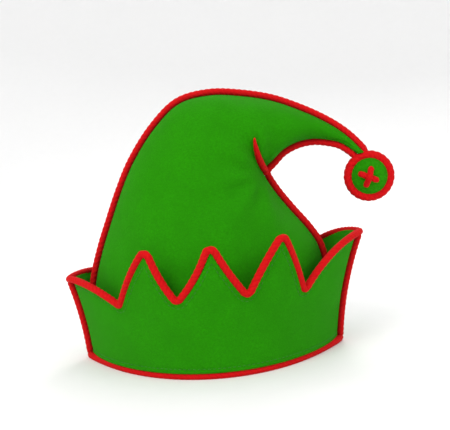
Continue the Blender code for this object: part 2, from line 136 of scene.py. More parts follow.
# The crease across each panel: row of the section it crosses, share of the way from the under
# line to the over line, and shares of the full cord radius and of the full dent there
CreaseRow = namedtuple("CreaseRow", "row share thickness dent")
CREASE_ROWS = (
    CreaseRow(7.60, 0.002, 1.00, 0.00),
    CreaseRow(8.50, 0.006, 1.00, 0.25),
    CreaseRow(8.65, 0.030, 1.00, 0.60),
    CreaseRow(8.88, 0.082, 1.00, 1.00),
    CreaseRow(9.10, 0.160, 0.90, 1.00),
    CreaseRow(9.30, 0.250, 0.70, 0.80),
    CreaseRow(9.45, 0.330, 0.50, 0.50),
    CreaseRow(9.60, 0.400, 0.30, 0.20),
)

# Cuff edge from the left seam to the right seam: share of the way round the front, share of the
# cuff's height, and how far the edge up to the next point bows out, as a share of its length
EdgeRow = namedtuple("EdgeRow", "share height bow")
EDGE_ROWS = (
    EdgeRow(0.000, 0.640, 0.085),
    EdgeRow(0.250, 0.518, 0.018),
    EdgeRow(0.371, 0.968, -0.070),
    EdgeRow(0.421, 0.565, -0.070),
    EdgeRow(0.507, 1.000, -0.042),
    EdgeRow(0.593, 0.571, 0.010),
    EdgeRow(0.667, 1.000, 0.012),
    EdgeRow(0.762, 0.524, 0.135),
    EdgeRow(1.000, 0.865, 0.000),
)

# How the cuff leans out and keeps to its seams, and the share of its height where its round is
# measured
FLARE_LEAN = 0.23
CORNER_POWER = 12
ARC_HEIGHT_SHARE = 0.6

# Fineness
CROWN_STEPS = 10
CROWN_COLUMNS = 112
SEAM_CROWDING = 0.09
CUFF_COLUMN = 1.4
CUFF_ROWS = 56
ARC_SAMPLES = 721
EDGE_SAMPLE = 0.25
EDGE_STEPS = 40
HEM_POINTS = 720
SEAM_CORD_POINTS = 60
CORD_STEP = 0.8
CORD_SIDES = 18

# Cord: three strands laid together, full enough to close its clearances, and sunk into the felt
ROPE_RADIUS = 3.15
TAIL_ROPE_SHARE = 0.94
CORD_SINK = 0.35
CORD_STRANDS = 3
CORD_TWIST = 14.0
CORD_GROOVE = 0.15
STRAND_ROUNDNESS = 0.8
CORD_END_LENGTH = 0.8
CORD_END_WIDTH = 0.25
CORD_END_GROOVE = 0.3
NEARLY_ALONG = 0.3
SEAM_CORD_TUCK = 1.5
CREASE_CORD_RISE = 0.55

# Slack in the felt: height, size and pattern of its soft waves. It grows from nothing at the first
# distance from the hem or the seams to all at the second.
Slack = namedtuple("Slack", "height size seed")
CROWN_SLACK = (Slack(1.9, 48.0, 3), Slack(0.6, 21.0, 10))
CROWN_HEM_FADE = (20, 70)
CROWN_SEAM_FADE = (4, 26)
CUFF_SLACK = (Slack(1.6, 55.0, 11), Slack(0.4, 21.0, 15))
CUFF_HEM_FADE = (8, 60)
CUFF_SEAM_FADE = (3, 18)
SEED_STEPS = (17.3, 5.1, 9.7)

# Folds that run out from the crease, all round it
FOLD_COUNT = 8
FOLD_HEIGHT = 1.5
FOLD_TURN = 0.5
FOLD_START = (8, 20)
FOLD_END = (24, 74)
FOLD_SEAM_FADE = (6, 20)

# Stuffed pad: cloth blown up by pressure, at a larger scale, where the simulation is steadier
PAD_RINGS = 32
PAD_SECTORS = 6
PAD_SHARE = 0.94
PAD_START = 0.55
PAD_SLACK = 0.09
PAD_FRAMES = 20
PAD_PRESSURE = 4.0
CLOTH_SCALE = 10.0
CLOTH_QUALITY = 8
CLOTH_MASS = 0.25
CLOTH_STRETCH = 20.0
CLOTH_BEND = 0.6

# Button: its ring's cord covers the edge of the pad, and the cross is sewn on by hand
RING_ROPE_RADIUS = 4.1
RING_LINE_RADIUS = BUTTON_RADIUS - 0.8
RING_POINTS = 200
CROSS_PLACE = np.array([-2.0, -0.2])
CROSS_ROPE_RADIUS = 2.75
CROSS_REACH = 8.1
CROSS_POINTS = 41
CROSS_SEAT = 1.9
CROSS_DIP = 3.0
CROSS_DIP_POWER = 6
CROSS_LIFT = 2.8
CROSS_LIFT_REACH = 0.62
PAD_NEIGHBOURS = 6

# End of the tail: its felt goes on into the ring, and its cords bend into it
TAIL_REACH = 1.2
TAIL_CORD_BEND = 4.0
TAIL_BEND_POINTS = 9

# Topstitching. Rows of a stitch: share of its length, height above the felt, share of its width
STITCH_PITCH = 4.0
STITCH_LENGTH = 2.9
STITCH_RADIUS = 0.33
STITCH_SIDES = 6
StitchRow = namedtuple("StitchRow", "share height width")
STITCH_ROWS = (
    StitchRow(0.00, -0.35, 0.35),
    StitchRow(0.12, 0.02, 0.80),
    StitchRow(0.32, 0.20, 1.00),
    StitchRow(0.68, 0.20, 1.00),
    StitchRow(0.88, 0.02, 0.80),
    StitchRow(1.00, -0.35, 0.35),
)
SEAM_STITCH_INSET = 4.6
EDGE_STITCH_INSET = 3.4
HEM_STITCH_INSET = 3.6
STITCH_GROOVE = 0.45
STITCH_DENT = 1.2
STITCHED_WIDTH = 5 * SEAM_STITCH_INSET

# Colours, and how the fibres of felt and cord lie
GREEN = (0.0185, 0.2623, 0.0008)
RED = (0.679, 0.0048, 0.007)
PAPER = (0.91, 0.91, 0.91)
THREAD_SHADE = 0.8
FELT_FIBRE = (380, 2600, 2600)
FELT_FIBRE_TURNS = ((0.3, 0.9, 0.2), (1.4, 0.1, 1.1), (0.7, 2.1, 0.5), (2.3, 1.2, 1.9))
CORD_FIBRE = (5.0, 16.0, 1.0)
THREAD_FIBRE = (1500, 1500, 1500)
THREAD_TURN = (0.6, 0.4, 0.8)

# The picture's view of the hat
VIEW_DISTANCE = 787.5
VIEW_ELEVATION = radians(6.34)
VIEW_ROLL = radians(3.89)
VIEW_AIM = (16.45, 0.0, 119.35)
VIEW_LENS = 71.43

# Floor, wall and lights, in metres
FLOOR_RADIUS = 1.3
FLOOR_SIDES = 96
COVE_RADIUS = 1.1
COVE_POINTS = 14
WALL_HEIGHT = 2.8
Light = namedtuple("Light", "name place size power colour")
LIGHTS = (
    Light("key", (-0.75, -1.1, 1.25), 0.9, 13.0, (1.0, 0.99, 0.97)),
    Light("fill", (1.2, -0.9, 0.7), 1.2, 4.0, (0.97, 0.98, 1.0)),
    Light("rim", (0.3, 1.2, 1.2), 0.8, 8.0, (1.0, 1.0, 1.0)),
)
LIGHT_AIM = (0.0, 0.0, 0.1)
WORLD_STRENGTH = 0.9

# Sizes that follow from those above
FRAME_CORD_OFFSET = CORD_RADIUS + GAP
FRAME_EDGE_OFFSET = FRAME_CORD_OFFSET + FACET_GAP
HEM_CORD_MIDDLE = CORD_RADIUS * cos(pi / FRAME_CORD_SIDES)
CROWN_FOOT = 2 * HEM_CORD_MIDDLE + GAP
LAYERS = CROWN_WALL + LAYER_GAP + CUFF_WALL
CUFF_HALF_WIDTH = HEM_HALF_WIDTH - FRAME_EDGE_OFFSET
CUFF_HALF_DEPTH = HEM_HALF_DEPTH + LAYERS / 2
CROWN_HALF_WIDTH = CUFF_HALF_WIDTH - CUFF_WALL - LAYER_GAP
CROWN_HALF_DEPTH = CUFF_HALF_DEPTH - CUFF_WALL - LAYER_GAP
CREASE_RADIUS = 2 * CORD_RADIUS + GAP + FACET_GAP
TAIL_END_HALF_HEIGHT = 1.3 * CROWN_WALL
TAIL_END_HALF_DEPTH = 1.6 * CROWN_WALL + SEAM_LAND
RING_RADIUS = BUTTON_RADIUS + CORD_RADIUS
PAD_RADIUS = BUTTON_RADIUS - FRAME_CORD_OFFSET
CORD_SEAT = ROPE_RADIUS - CORD_SINK
FRONT, BACK = -1, 1


def unit(vectors):
    return vectors / np.linalg.norm(vectors, axis=-1, keepdims=True)


def at_angle(angle, length=1.0):
    return length * np.array([cos(angle), sin(angle)])


def smooth_step(value, start, end):
    share = np.clip((value - start) / (end - start), 0, 1)
    return share * share * (3 - 2 * share)


def through(points, steps):
    """A smooth curve through the points, in `steps` pieces from each to the next."""
    points = np.asarray(points, float)
    held = np.vstack([2 * points[0] - points[1], points, 2 * points[-1] - points[-2]])
    spans = np.sqrt(np.linalg.norm(np.diff(held, axis=0), axis=1))
    slopes = np.diff(held, axis=0) / spans[:, None]
    bends = (held[2:] - held[:-2]) / (spans[:-1] + spans[1:])[:, None]
    tangents = slopes[:-1] - bends + slopes[1:]
    curve = []
    for i, span in enumerate(spans[1:-1]):
        start, end = points[i], points[i + 1]
        leaving, arriving = tangents[i] * span, tangents[i + 1] * span
        for u in np.linspace(0, 1, steps, endpoint=False):
            rise = u * u * (3 - 2 * u)
            bow = u * (1 - u)
            curve.append(start + rise * (end - start) + bow * ((1 - u) * leaving - u * arriving))
    curve.append(points[-1])
    return np.array(curve)


def shifted(path, distance):
    """The plane path moved to its left by the distance, which may differ from point to point."""
    along = unit(np.gradient(path, axis=0))
    left = np.stack([-along[:, 1], along[:, 0]], axis=1)
    return path + left * np.reshape(distance, (-1, 1))


def lengths_along(path):
    return np.concatenate([[0.0], np.cumsum(np.linalg.norm(np.diff(path, axis=0), axis=1))])


def resampled(path, step, extra=None):
    """The path with its points evenly spaced, about a step apart, and extra values with it."""
    along = lengths_along(path)
    places = np.linspace(0, along[-1], max(2, round(along[-1] / step) + 1))
    even = np.stack([np.interp(places, along, path[:, k]) for k in range(path.shape[1])], axis=1)
    return even if extra is None else (even, np.interp(places, along, extra))


def normals_of(grid):
    """Outward directions of a panel's grid, with rows going up and columns left to right."""
    return unit(np.cross(np.gradient(grid, axis=0), np.gradient(grid, axis=1)))


def noise_at(points, size, seed):
    """Soft random heights from -1 to 1 that vary over the given size in millimetres."""
    offset = Vector([seed * step for step in SEED_STEPS])
    flat = points.reshape(-1, 3) / size
    values = [noise.noise(Vector(p) + offset) for p in flat]
    return np.array(values).reshape(points.shape[:-1])


# Crown

def crown_height(share):
    return CROWN_FOOT + share * (CROWN_HEIGHT - CROWN_FOOT)


def crease_corner():
    return np.array([CREASE_X_SHARE * CROWN_HALF_WIDTH, crown_height(CREASE_Z_SHARE)])


def corner_arc(share):
    """A point on the round corner of the under line, from the crown's side (0) to the tail (1)."""
    turn = CREASE_SIDE_ANGLE - CREASE_TAIL_ANGLE
    inward = (CREASE_SIDE_ANGLE + CREASE_TAIL_ANGLE - pi) / 2
    centre = crease_corner() + at_angle(inward, CREASE_RADIUS / cos(turn / 2))
    return centre + at_angle(CREASE_SIDE_ANGLE + pi / 2 - share * turn, CREASE_RADIUS)


def table_lines():
    """Ends on the over and under lines, half depth share and ease of each row of the tables."""
    over, under, depth, ease = [], [], [], []
    for row in BODY_ROWS:
        over.append((row.over_x * CROWN_HALF_WIDTH, crown_height(row.over_z)))
        under.append((row.under_x * CROWN_HALF_WIDTH, crown_height(row.under_z)))
        depth.append(row.depth)
        ease.append(row.ease)
    for number, row in enumerate(BEND_ROWS):
        over.append((row.over_x * CROWN_HALF_WIDTH, crown_height(row.over_z)))
        under.append(corner_arc(number / (len(BEND_ROWS) - 1)))
        depth.append(row.depth)
        ease.append(1)
    crease_x = crease_corner()[0]
    for row in TAIL_ROWS:
        over.append((crease_x + row.over_x * TAIL_LENGTH, crown_height(row.over_z)))
        under.append((crease_x + row.under_x * TAIL_LENGTH, crown_height(row.under_z)))
        depth.append(row.depth)
        ease.append(1)
    return over, under, depth, ease


class Crown:
    """The outer face of the felt, in sections from the hem (row 0) to the end of the tail."""

    def __init__(self):
        over, under, depth, ease = table_lines()
        over, under = through(over, CROWN_STEPS), through(under, CROWN_STEPS)
        middle, half = (over + under) / 2, (under - over) / 2
        length = np.linalg.norm(half, axis=1)[:, None]
        half *= np.maximum(length, TAIL_END_HALF_HEIGHT) / length
        self.middle, self.half = middle, half
        self.over, self.under = middle - half, middle + half
        depth = through(list(enumerate(depth)), CROWN_STEPS)[:, 1] * CROWN_HALF_DEPTH
        self.depth = np.maximum(depth, TAIL_END_HALF_DEPTH)
        ease = through(list(enumerate(ease)), CROWN_STEPS)[:, 1]
        self.pinch = HEM_PINCH_POWER + (1 - HEM_PINCH_POWER) * ease
        self.rows = np.arange(len(over)) / CROWN_STEPS
        creased = [self.smooth_point(c.row, acos(2 * c.share - 1)) for c in CREASE_ROWS]
        self.crease = through(creased, CROWN_STEPS)
        numbers = np.arange(len(self.crease)) / CROWN_STEPS
        known = np.arange(len(CREASE_ROWS))
        self.dents = np.interp(numbers, known, [c.dent for c in CREASE_ROWS])
        self.thickness = np.interp(numbers, known, [c.thickness for c in CREASE_ROWS])

    def at(self, row, values):
        """The values at any place along the rows."""
        return np.array([np.interp(row, self.rows, column) for column in np.atleast_2d(values.T)])

    def smooth_point(self, row, angle):
        """A point on the back panel: angle 0 is the over line and half a turn the under line."""
        x, z = self.at(row, self.middle) - cos(angle) * self.at(row, self.half)
        out = sin(angle) ** self.at(row, self.pinch)[0]
        return np.array([x, SEAM_LAND + out * (self.at(row, self.depth)[0] - SEAM_LAND), z])

    def smooth_grid(self):
        """Points of the back panel, a row for each section, with columns closer at the seams."""
        shares = np.linspace(0, 1, CROWN_COLUMNS + 1)
        angles = pi * (shares - SEAM_CROWDING * np.sin(2 * pi * shares))
        plane = self.middle[:, None] - np.cos(angles)[None, :, None] * self.half[:, None]
        out = np.clip(np.sin(angles), 0, 1)[None, :] ** self.pinch[:, None]
        across = SEAM_LAND + out * (self.depth[:, None] - SEAM_LAND)
        grid = np.stack([plane[..., 0], across, plane[..., 1]], axis=2)
        away = np.linalg.norm(grid[:, :, None] - self.crease, axis=3) / CREASE_WIDTH
        dent = CREASE_DEPTH * (self.dents * np.exp(-(away**2))).max(axis=2)
        middle = np.stack([self.middle[:, 0], 0 * self.depth, self.middle[:, 1]], axis=1)
        return grid - dent[..., None] * unit(grid - middle[:, None])


def lengths_across(grid):
    """How far each point of a panel is from its left side seam, across the felt."""
    steps = np.linalg.norm(np.diff(grid, axis=1), axis=2)
    return np.concatenate([np.zeros((len(grid), 1)), np.cumsum(steps, axis=1)], axis=1)


def seam_distance(grid):
    """How far each point of a panel is from the nearer side seam, across the felt."""
    across = lengths_across(grid)
    return np.minimum(across, across[:, -1:] - across)


def slack_waves(grid, waves, side):
    return sum(wave.height * noise_at(grid, wave.size, wave.seed + side) for wave in waves)


def stitch_dent(away):
    """How far a line of stitching draws the felt in, at a distance from the line."""
    return STITCH_GROOVE * np.exp(-((away / STITCH_DENT) ** 2))


def crown_relief(grid, side):
    """How far the felt stands out from its plain form: slack, folds by the crease and seams."""
    from_seam = seam_distance(grid)
    loose = smooth_step(from_seam, *CROWN_SEAM_FADE) * smooth_step(grid[..., 2], *CROWN_HEM_FADE)
    relief = loose * slack_waves(grid, CROWN_SLACK, side)
    arm = grid[..., [0, 2]] - crease_corner()
    reach = np.linalg.norm(arm, axis=2)
    angle = np.arctan2(arm[..., 1], arm[..., 0])
    folds = FOLD_HEIGHT * np.cos(FOLD_COUNT * angle + FOLD_TURN * side)
    folds *= smooth_step(reach, *FOLD_START) * (1 - smooth_step(reach, *FOLD_END))
    relief += folds * smooth_step(from_seam, *FOLD_SEAM_FADE)
    return relief - stitch_dent(from_seam - SEAM_STITCH_INSET)


def with_seam_edges(grid):
    """The grid with a narrow flat strip along both seams, up to the seam plane."""
    first, last = grid[:, :1].copy(), grid[:, -1:].copy()
    first[..., 1] = 0
    last[..., 1] = 0
    return np.concatenate([first, grid, last], axis=1)


# Cuff

def flare(height):
    share = height / CUFF_HEIGHT
    return share * (FLARE_LEAN + (1 - FLARE_LEAN) * share)


def cuff_point(angle, height, inset, edge=0.0, corner=0.0):
    """Points at the back of the cuff: angle 0 is the left seam and half a turn the right one."""
    half_width = CUFF_HALF_WIDTH + SIDE_FLARE * flare(height) - inset
    half_depth = CUFF_HALF_DEPTH + FRONT_FLARE * flare(height) - inset
    across, out = -np.cos(angle), np.clip(np.sin(angle), 0, 1) ** HEM_PINCH_POWER
    reach = corner * np.cos(angle) * np.abs(np.cos(angle)) ** (CORNER_POWER - 1)
    x, y = across * half_width - reach, edge + out * (half_depth - edge)
    return np.stack(np.broadcast_arrays(x, y, height), axis=-1)


def shrunk(heights, distance):
    """The edge as it is a distance inside the one given, all the way round."""
    reach = int(distance / EDGE_SAMPLE)
    moves = range(-reach, reach + 1)
    drops = [np.sqrt(distance**2 - (k * EDGE_SAMPLE) ** 2) for k in moves]
    return np.min([np.roll(heights, k) - drop for k, drop in zip(moves, drops)], axis=0)


def grown(heights, distance):
    return -shrunk(-heights, distance)


class Cuff:
    """The cuff's round, laid out flat from the left seam along the front and then the back."""

    def __init__(self):
        self.angles = np.linspace(0, pi, ARC_SAMPLES)
        path = cuff_point(self.angles, CUFF_HEIGHT * ARC_HEIGHT_SHARE, CUFF_WALL / 2)
        self.lengths = lengths_along(path)
        self.half = self.lengths[-1]
        count = 2 * round(self.half / EDGE_SAMPLE)
        self.places = np.linspace(0, 2 * self.half, count, endpoint=False)
        zigzag = self.zigzag()
        opened = grown(shrunk(zigzag, FRAME_EDGE_OFFSET), FRAME_EDGE_OFFSET)
        self.cord = shrunk(grown(opened, FRAME_EDGE_OFFSET), FRAME_EDGE_OFFSET)

    def zigzag(self):
        """Heights of the edge with sharp tips and dips, from the table."""
        lengths, heights = [], []
        for row, after in zip(EDGE_ROWS, EDGE_ROWS[1:]):
            start = np.array([row.share * self.half, row.height * CUFF_HEIGHT])
            end = np.array([after.share * self.half, after.height * CUFF_HEIGHT])
            left = np.array([start[1] - end[1], end[0] - start[0]])
            for share in np.linspace(0, 1, EDGE_STEPS, endpoint=False):
                point = start + share * (end - start) + 4 * row.bow * share * (1 - share) * left
                lengths.append(point[0])
                heights.append(point[1])
        lengths.append(self.half)
        heights.append(EDGE_ROWS[-1].height * CUFF_HEIGHT)
        folded = np.minimum(self.places, 2 * self.half - self.places)
        return np.interp(folded, lengths, heights)

    def points(self, lengths, heights, inset, edge=0.0, corner=0.0):
        """Points at the front for the first half of the round, and then at the back."""
        folded = np.minimum(lengths, 2 * self.half - lengths)
        angles = np.interp(folded, self.lengths, self.angles)
        points = cuff_point(angles, heights, inset, edge, corner)
        points[..., 1] *= np.where(lengths <= self.half, FRONT, BACK)
        return points

    def felt_edge(self, depth):
        """Heights of the line that lies this far inside the cord, at the cuff's own samples."""
        return shrunk(self.cord, depth)


def cuff_grid(cuff):
    """Points of the back panel and their heights, rows going up and columns left to right."""
    count = round(cuff.half / CUFF_COLUMN)
    lengths = np.linspace(0, cuff.half, count + 1)
    tops = np.interp(lengths, cuff.places, cuff.felt_edge(CORD_SEAT))
    angles = np.interp(lengths, cuff.lengths, cuff.angles)
    tops += CORD_SEAT * np.abs(np.cos(angles)) ** CORNER_POWER
    shares = np.linspace(0, 1, CUFF_ROWS + 1)[:, None]
    heights = CROWN_FOOT + shares * (tops - CROWN_FOOT)
    grid = cuff.points(np.broadcast_to(lengths, heights.shape), heights, 0.0, SEAM_LAND)
    grid[..., 1] = np.abs(grid[..., 1])
    return grid, heights


def cuff_relief(cuff, grid, heights, side):
    """Slack in the felt, which grows towards the tips, and the dents of the stitching."""
    loose = smooth_step(heights, *CUFF_HEM_FADE)
    loose *= smooth_step(seam_distance(grid), *CUFF_SEAM_FADE)
    relief = loose * slack_waves(grid, CUFF_SLACK, side)
    for line in stitch_heights(cuff, heights.shape[1]):
        steepness = np.gradient(line, cuff.half / (len(line) - 1))
        relief -= stitch_dent((heights - line) / np.sqrt(1 + steepness**2))
    return relief


def stitch_heights(cuff, columns):
    """Heights of the two lines of stitching at each column: below the edge and above the hem."""
    lengths = np.linspace(0, cuff.half, columns)
    below_edge = np.interp(lengths, cuff.places, cuff.felt_edge(CORD_SEAT + EDGE_STITCH_INSET))
    return below_edge, np.full(columns, CROWN_FOOT + HEM_STITCH_INSET)


def cuff_stitch_lines(cuff, grid, heights, side):
    """The lines of stitching on a panel of the cuff, with the felt's outward directions."""
    outward = normals_of(grid)
    lines = []
    for line in stitch_heights(cuff, heights.shape[1]):
        path, ups = [], []
        for j, height in enumerate(line):
            row = np.interp(height, heights[:, j], np.arange(len(heights)))
            low = min(int(row), len(heights) - 2)
            share = row - low
            path.append((1 - share) * grid[low, j] + share * grid[low + 1, j])
            ups.append((1 - share) * outward[low, j] + share * outward[low + 1, j])
        mirror = np.array([1, side, 1])
        lines.append((np.array(path) * mirror, np.array(ups) * mirror))
    return lines


# Making objects

def hat_mesh(name, points, faces, uvs=None, grooves=None):
    """A mesh from points in millimetres, with a UV per face corner and a cord's grooves for painted
    shade.
    """
    mesh = bpy.data.meshes.new(name)
    placed = (np.asarray(points) + np.array([HAT_MIDDLE, 0, 0])) * MM
    mesh.from_pydata(placed.tolist(), [], faces)
    if uvs is not None:
        layer = mesh.uv_layers.new(name="lay")
        layer.data.foreach_set("uv", np.asarray(uvs, float).ravel())
    if grooves is not None:
        # The grooves' depth goes to the cord's material, which paints shade into them
        groove_shade = mesh.attributes.new("groove_shade", "FLOAT", "POINT")
        groove_shade.data.foreach_set("value", np.asarray(grooves, float))
    mesh.shade_smooth()
    mesh.validate()
    return mesh


def hat_piece(name, mesh, material, slot, *nodes):
    """Shows the mesh as a piece of the hat that stands for the frame's nodes."""
    piece = bpy.data.objects.new(name, mesh)
    bpy.context.scene.collection.objects.link(piece)
    mesh.materials.append(material)
    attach(piece, "root")
    if nodes:
        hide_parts(*nodes)
    return piece


def grid_faces(rows, columns, closed_rows=False, closed_columns=False):
    """Quads of a grid of points, and the row and column of each of their corners."""
    faces, corners = [], []
    for i in range(rows if closed_rows else rows - 1):
        for j in range(columns if closed_columns else columns - 1):
            after_i, after_j = (i + 1) % rows, (j + 1) % columns
            first, second = i * columns, after_i * columns
            faces.append((first + j, second + j, second + after_j, first + after_j))
            corners += [(i, j), (i + 1, j), (i + 1, j + 1), (i, j + 1)]
    return faces, np.array(corners, float)


def felt_panel(name, grid, side, wall, material, node):
    """A panel from its outer face at the back, mirrored for the front, and then thickened."""
    rows, columns = grid.shape[:2]
    faces, corners = grid_faces(rows, columns)
    if side == FRONT:
        faces = [face[::-1] for face in faces]
        corners = corners.reshape(-1, 4, 2)[:, ::-1].reshape(-1, 2)
    points = grid.reshape(-1, 3) * np.array([1, side, 1])
    mesh = hat_mesh(name, points, faces, corners / [rows, columns])
    panel = hat_piece(name, mesh, material, "green_felt", node)
    shell = panel.modifiers.new("Felt", "SOLIDIFY")
    shell.thickness = wall * MM
    shell.offset = -1
    shell.use_even_offset = True


def carried_frames(path, closed):
    """Two directions across a path at each point, and how far they turn round a closed one."""
    if closed:
        along = unit(np.roll(path, -1, axis=0) - np.roll(path, 1, axis=0))
    else:
        along = unit(np.gradient(path, axis=0))
    first = np.cross(along[0], (0.0, 1.0, 0.0))
    if np.linalg.norm(first) < NEARLY_ALONG:
        first = np.cross(along[0], (0.0, 0.0, 1.0))
    sides = [unit(first)]
    for direction in along[1:]:
        carried = sides[-1] - (sides[-1] @ direction) * direction
        sides.append(unit(carried))
    sides = np.array(sides)
    ups = np.cross(along, sides)
    turn = 0.0
    if closed:
        back = sides[-1] - (sides[-1] @ along[0]) * along[0]
        turn = np.arctan2(back @ ups[0], back @ sides[0])
    return sides, ups, turn


def cap_faces(rows):
    """Triangles that close both ends of a cord, onto the two points that follow its rings."""
    first, last = rows * CORD_SIDES, (rows - 1) * CORD_SIDES
    faces = []
    for j in range(CORD_SIDES):
        after = (j + 1) % CORD_SIDES
        faces.append((first, j, after))
        faces.append((first + 1, last + after, last + j))
    return faces


def rope_mesh(name, path, radius, shares=None, closed=False, floor=None):
    """A cord of strands laid together along the path, thinned at each point to a share."""
    if closed:
        path = resampled(np.vstack([path, path[:1]]), CORD_STEP)[:-1]
        shares = np.ones(len(path))
    else:
        given = np.ones(len(path)) if shares is None else np.asarray(shares, float)
        path, shares = resampled(path, CORD_STEP, given)
    sides, ups, turn = carried_frames(path, closed)
    travelled = np.arange(len(path)) * CORD_STEP
    total = len(path) * CORD_STEP
    turns = total / CORD_TWIST
    if closed:
        turns = round(turns * CORD_STRANDS) / CORD_STRANDS
    lay = (2 * pi * turns - turn) * travelled / total
    spokes = 2 * pi * np.arange(CORD_SIDES) / CORD_SIDES
    local = spokes[None, :] - lay[:, None]
    lobe = np.abs(np.cos(CORD_STRANDS / 2 * local)) ** STRAND_ROUNDNESS
    scale = radius * shares[:, None] * (1 - CORD_GROOVE + CORD_GROOVE * lobe)
    if not closed:
        from_end = np.minimum(travelled, travelled[-1] - travelled)
        rounding = np.sqrt(1 - (1 - np.clip(from_end / (CORD_END_LENGTH * radius), 0, 1)) ** 2)
        scale = scale * (CORD_END_WIDTH + (1 - CORD_END_WIDTH) * rounding)[:, None]
    spread = spokes[None, :, None]
    ring = np.cos(spread) * sides[:, None] + np.sin(spread) * ups[:, None]
    points = path[:, None] + scale[..., None] * ring
    if floor is not None:
        points[..., 2] = np.maximum(points[..., 2], floor)
    rows = len(path)
    faces, corners = grid_faces(rows, CORD_SIDES, closed, True)
    row_lay = np.append(lay, lay[-1] + (lay[1] - lay[0]))
    row_place = np.append(travelled, total)
    index = corners[:, 0].astype(int)
    across = CORD_STRANDS * (corners[:, 1] / CORD_SIDES - row_lay[index] / (2 * pi))
    uvs = np.stack([row_place[index] / CORD_TWIST, across], axis=1)
    flat = points.reshape(-1, 3)
    # How deep each point lies in a groove between strands: the cord's painted shade follows it
    grooves = (1 - lobe).ravel()
    if not closed:
        flat = np.vstack([flat, path[0], path[-1]])
        grooves = np.append(grooves, [CORD_END_GROOVE, CORD_END_GROOVE])
        caps = cap_faces(rows)
        faces += caps
        uvs = np.vstack([uvs, np.zeros((3 * len(caps), 2))])
    return hat_mesh(name, flat, faces, uvs, grooves)


def in_seam_plane(path):
    """The plane path as points in space, halfway between the front and the back."""
    return np.insert(path, 1, 0.0, axis=1)


def stitch_mesh(name, lines):
    """Short raised stitches along lines of points, each with the felt's outward directions."""
    shares = np.array([row.share for row in STITCH_ROWS])
    spokes = 2 * pi * np.arange(STITCH_SIDES) / STITCH_SIDES
    points, faces = [], []
    for path, outward in lines:
        along = lengths_along(path)
        count = int(along[-1] // STITCH_PITCH)
        spare = (along[-1] - count * STITCH_PITCH) / 2
        for number in range(count):
            start = spare + number * STITCH_PITCH + (STITCH_PITCH - STITCH_LENGTH) / 2
            places = start + shares * STITCH_LENGTH
            middle = np.stack([np.interp(places, along, path[:, k]) for k in range(3)], axis=1)
            up = unit(np.stack([np.interp(places, along, outward[:, k]) for k in range(3)], axis=1))
            forward = unit(middle[-1] - middle[0])
            first = len(points)
            for centre, raised, row in zip(middle, up, STITCH_ROWS):
                side = unit(np.cross(forward, raised))
                for angle in spokes:
                    spoke = cos(angle) * side + sin(angle) * raised
                    points.append(centre + row.height * raised + STITCH_RADIUS * row.width * spoke)
            last = first + (len(STITCH_ROWS) - 1) * STITCH_SIDES
            for ring in range(first, last, STITCH_SIDES):
                for k in range(STITCH_SIDES):
                    a, b = ring + k, ring + (k + 1) % STITCH_SIDES
                    faces.append((a, b, b + STITCH_SIDES, a + STITCH_SIDES))
            faces.append(tuple(first + k for k in reversed(range(STITCH_SIDES))))
            faces.append(tuple(last + k for k in range(STITCH_SIDES)))
    return hat_mesh(name, points, faces)


# Materials

class Nodes:
    """Builds a material's nodes around its shader."""

    def __init__(self, name):
        self.material = bpy.data.materials.new(name)
        self.material.use_nodes = True
        self.tree = self.material.node_tree
        self.shader = self.tree.nodes["Principled BSDF"]

    def add(self, kind, inputs=None, **settings):
        node = self.tree.nodes.new(kind)
        for key, value in settings.items():
            setattr(node, key, value)
        for key, value in (inputs or {}).items():
            self.put(value, node.inputs[key])
        return node

    def put(self, value, socket):
        if isinstance(value, bpy.types.NodeSocket):
            self.tree.links.new(value, socket)
        else:
            socket.default_value = value

    def set(self, **inputs):
        for key, value in inputs.items():
            self.put(value, self.shader.inputs[key.replace("_", " ")])

    def place(self, scale=(1, 1, 1), turn=(0, 0, 0)):
        coords = self.add("ShaderNodeTexCoord").outputs["Object"]
        inputs = {"Vector": coords, "Scale": scale, "Rotation": turn}
        return self.add("ShaderNodeMapping", inputs).outputs["Vector"]

    def noise(self, vector, scale, detail, distortion=0.0):
        inputs = {"Vector": vector, "Scale": scale, "Detail": detail, "Distortion": distortion}
        return self.add("ShaderNodeTexNoise", inputs).outputs["Fac"]

    def ramp(self, value, low, high):
        inputs = {"Value": value, "From Min": low, "From Max": high}
        return self.add("ShaderNodeMapRange", inputs).outputs["Result"]

    def math(self, operation, first, second):
        return self.add("ShaderNodeMath", {0: first, 1: second}, operation=operation).outputs[0]

    def mix(self, share, first, second):
        node = self.add("ShaderNodeMix", data_type="RGBA")
        # The node has sockets for numbers and vectors too: these are its share and its colours
        sockets = (node.inputs[0], node.inputs[6], node.inputs[7])
        for socket, value in zip(sockets, (share, first, second)):
            self.put(value, socket)
        return node.outputs[2]

    def bump(self, height, distance, strength):
        inputs = {"Height": height, "Distance": distance * MM, "Strength": strength}
        return self.add("ShaderNodeBump", inputs).outputs["Normal"]


def shade_of(colour, factor, lift=0.0):
    return (*[min(1.0, channel * factor + lift) for channel in colour], 1)


